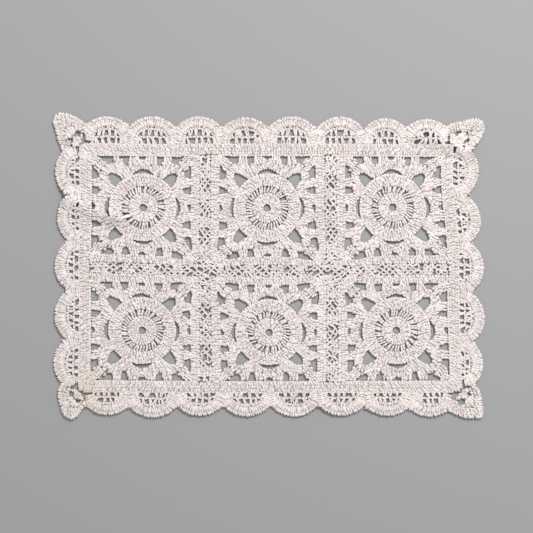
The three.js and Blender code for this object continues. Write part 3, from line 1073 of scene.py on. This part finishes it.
class CrochetYarn(bpy.types.PropertyGroup):
    """The cotton that the mat is worked in."""

    strand_radius: FloatProperty(
        name="Strand radius", description="Radius of one strand of the yarn",
        default=0.7 * MM, min=0.0, unit="LENGTH",
    )
    ply_length: FloatProperty(
        name="Ply length", description="Length of strand in which a ply winds round once",
        default=2.4 * MM, min=0.0001, unit="LENGTH",
    )
    plies: IntProperty(name="Plies", description="Plies wound into the strand", default=4, min=1)
    unevenness: FloatProperty(
        name="Unevenness", description="How far the stitches stray, 1 for hand work",
        default=1.0, min=0.0,
    )
    motif_colour: colour_setting(
        "Motif colour", "Yarn colour of the motifs", (0.91, 0.838, 0.822)
    )
    edging_colour: colour_setting(
        "Edging colour", "Yarn colour of the edging", (0.882, 0.811, 0.79)
    )
    band_colour: colour_setting(
        "Band colour", "Yarn colour of the band and the joining mesh", (0.88, 0.81, 0.79)
    )
    # Painted shade: this dark colour of the ground cloth's top stands for the shade between the
    # stitches, and its underside renders lighter, as plain cloth.
    ground_colour: colour_setting(
        "Ground colour", "Colour of the close-worked cloth behind the stitches",
        (0.505, 0.445, 0.42),
    )
    seed: IntProperty(name="Seed", description="Seed of the stitches' unevenness", default=7, min=0)


class CrochetStage(bpy.types.PropertyGroup):
    """The floor, the lamps and the camera."""

    floor_colour: colour_setting(
        "Floor colour", "Colour of the surface the mat lies on", (0.37, 0.37, 0.37)
    )
    camera_height: FloatProperty(
        name="Camera height", description="Height of the camera over the mat",
        default=1.2585, min=0.1, unit="LENGTH",
    )
    key_power: FloatProperty(
        name="Key power", description="Power of the large lamp", default=46.0, unit="POWER"
    )
    sky: FloatProperty(
        name="Sky", description="Strength of the even light all round", default=0.46, min=0.0
    )


# ---- Operators ----
class MakesCloth:
    """What the operators that make cloth share. Each names its kind of yarn and its slot."""

    def begin(self, context, number):
        """A hook with new yarn, on a seed of its own."""
        yarn = context.scene.crochet_yarn
        return Hook(yarn, yarn.seed + number)

    def tie(self, piece, node):
        """Ties a piece to the frame, in the place of a CAD node."""
        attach(piece, "root")
        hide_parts(node)

    def work(self, context, name, hook, flat=None, node=None):
        """Makes a piece's stitches and, where it has a flat size, its ground cloth."""
        yarn = context.scene.crochet_yarn
        piece = hook.stitches.make(f"{name}_stitches", cotton(self.kind, yarn))
        self.tie(piece, node or name)
        if flat:
            # The ground cloth's top is painted shade between the stitches, and its underside plain
            # cloth.
            ground = hook.cloth.make(f"{name}_ground", cotton("ground", yarn))
            self.tie(ground, node or name)


class CROCHET_OT_motifs(MakesCloth, bpy.types.Operator):
    """Works the six square motifs."""

    bl_idname = "crochet.motifs"
    bl_label = "Motifs"
    kind, slot = "motif", "motif_yarn"

    def execute(self, context):
        for row, row_name in enumerate(ROWS):
            for column, column_name in enumerate(COLUMNS):
                hook = self.begin(context, 10 * row + column)
                motif = Motif(column, row, hook)
                motif.rounds()
                motif.loops()
                motif.sides()
                motif.borders()
                self.work(context, f"motif_{row_name}_{column_name}", hook, MOTIF_FLAT)
        return {"FINISHED"}


class CROCHET_OT_joins(MakesCloth, bpy.types.Operator):
    """Works the openwork mesh that joins the motifs."""

    bl_idname = "crochet.joins"
    bl_label = "Joining mesh"
    kind, slot = "band", "mesh_yarn"

    def execute(self, context):
        middles = [np.array([side * PITCH[0] / 2, 0]) for side in (-1, 1)]
        mouth = MESH_HALF + CORNER_CUT
        for row, row_name in enumerate(ROWS):
            for column, column_name in enumerate(("left", "right")):
                hook = self.begin(context, 40 + 2 * row + column)

                def upright(points):
                    """Points of a strip from the long one's mouth out to the band."""
                    return quarter(points + (mouth, 0), (3, 1)[row]) + middles[column]

                mesh_strip(hook, PITCH[1] / 2 + SEAM - mouth + 1.5, upright)
                self.work(context, f"mesh_{row_name}_{column_name}", hook)
        hook = self.begin(context, 50)
        reach = PITCH[0] + SEAM + 1.5

        def centred(points):
            """Points of the long strip, with its middle at the mat's."""
            return points - (reach, 0)

        mesh_strip(hook, 2 * reach, centred, (reach - PITCH[0] / 2, reach + PITCH[0] / 2))
        for middle in middles:
            mesh_crossing(hook, middle)
        self.work(context, "mesh_long", hook)
        return {"FINISHED"}


class CROCHET_OT_band(MakesCloth, bpy.types.Operator):
    """Works the solid band round the six motifs."""

    bl_idname = "crochet.band"
    bl_label = "Band"
    kind, slot = "band", "band_yarn"

    def execute(self, context):
        hook = self.begin(context, 60)

        def line(out, per_side=90):
            """A line round the band, so far out from its inner edge."""
            return rectangle(np.array(BAND_HALF) - BAND_WIDTH + out, per_side)

        hook.grain(line(-0.2), line(BAND_WIDTH + 0.1), 3, closed=True)
        hook.ground(line(-0.4, 24), line(BAND_WIDTH + 0.3, 24), closed=True)
        length = 4 * (BAND_HALF[0] + BAND_HALF[1] - BAND_WIDTH) * MM
        self.work(context, "band", hook, (length, (BAND_WIDTH + 0.7) * MM))
        return {"FINISHED"}


class CROCHET_OT_edging(MakesCloth, bpy.types.Operator):
    """Works the scallops along the four sides and the ears at the corners."""

    bl_idname = "crochet.edging"
    bl_label = "Scalloped edging"
    kind, slot = "edging", "edging_yarn"

    def execute(self, context):
        for number, side in enumerate(SIDES):
            hook = self.begin(context, 70 + number)
            base = -BAND_HALF[1 - number % 2]
            widths = side["widths"]
            length = sum(widths)
            middles = side["start"] + np.cumsum([0, *widths[:-1]]) + np.array(widths) / 2
            for middle, width, crown in zip(middles, widths, side["crowns"]):

                def place(points):
                    """Points from the middle of the scallop's foot, brought into the layout."""
                    return quarter((middle, base) - points, number)

                opened = [EAR_OPENING * (middle == end) for end in (middles[0], middles[-1])]
                scallop(hook, place, width, crown, crown - side["rim"], opened)
            foot = np.linspace(side["start"] - 3, side["start"] + length + 3, 40)
            hook.chain(quarter(points_at(foot, base - 0.2), number), pitch=EDGE_PITCH)
            ear_piece(hook, number)
            flat = ((length + 30) * MM, EDGING_FLAT)
            self.work(context, f"edging_{side['name']}", hook, flat, "edging")
        return {"FINISHED"}


class CROCHET_OT_stage(bpy.types.Operator):
    """Makes the floor, the lamps and the camera."""

    bl_idname = "crochet.stage"
    bl_label = "Stage"

    def execute(self, context):
        stage = context.scene.crochet_stage
        scene = context.scene
        scene.view_settings.view_transform = "Standard"

        mesh = bpy.data.meshes.new("floor")
        reach = 3.0
        corners = [(-reach, -reach, 0), (reach, -reach, 0), (reach, reach, 0), (-reach, reach, 0)]
        mesh.from_pydata(corners, [], [(0, 1, 2, 3)])
        finish = {"Base Color": (*stage.floor_colour, 1), "Roughness": 0.9}
        mesh.materials.append(new_material("floor", finish)[0])
        added("floor", mesh)

        world = bpy.data.worlds.new("studio")
        world.use_nodes = True
        light = world.node_tree.nodes["Background"].inputs
        light["Color"].default_value = (1, 1, 1, 1)
        light["Strength"].default_value = stage.sky
        scene.world = world

        lamp = bpy.data.lights.new("key", "AREA")
        lamp.shape = "DISK"
        lamp.size = 0.9
        lamp.energy = stage.key_power
        key = added("key", lamp)
        key.location = (0.75, 1.35, 1.75)
        # The lamp shines along its -Z, at the mat's middle.
        key.rotation_euler = (-Vector(key.location)).to_track_quat("-Z", "Y").to_euler()

        camera = bpy.data.cameras.new("camera")
        camera.sensor_width = 36
        camera.lens = 85
        scene.camera = added("camera", camera)
        scene.camera.location = (-0.0025, -0.0005, stage.camera_height)
        return {"FINISHED"}


class CROCHET_PT_mat(bpy.types.Panel):
    """Lists the mat's settings and its operators."""

    bl_label = "Crocheted mat"
    bl_space_type = "VIEW_3D"
    bl_region_type = "UI"
    bl_category = "Crochet"

    def draw(self, context):
        for group in (context.scene.crochet_yarn, context.scene.crochet_stage):
            box = self.layout.box()
            for name in group.__annotations__:
                box.prop(group, name)
        for operator in OPERATORS:
            self.layout.operator(operator.bl_idname)


OPERATORS = (
    CROCHET_OT_stage,
    CROCHET_OT_motifs,
    CROCHET_OT_joins,
    CROCHET_OT_band,
    CROCHET_OT_edging,
)
CLASSES = (CrochetYarn, CrochetStage, *OPERATORS, CROCHET_PT_mat)


def register():
    for cls in CLASSES:
        bpy.utils.register_class(cls)
    bpy.types.Scene.crochet_yarn = PointerProperty(type=CrochetYarn)
    bpy.types.Scene.crochet_stage = PointerProperty(type=CrochetStage)


def unregister():
    del bpy.types.Scene.crochet_stage
    del bpy.types.Scene.crochet_yarn
    for cls in reversed(CLASSES):
        bpy.utils.unregister_class(cls)


def main():
    """Makes the stage and every piece."""
    register()
    bpy.ops.crochet.stage()
    bpy.ops.crochet.motifs()
    bpy.ops.crochet.joins()
    bpy.ops.crochet.band()
    bpy.ops.crochet.edging()


if __name__ == "__main__":
    main()
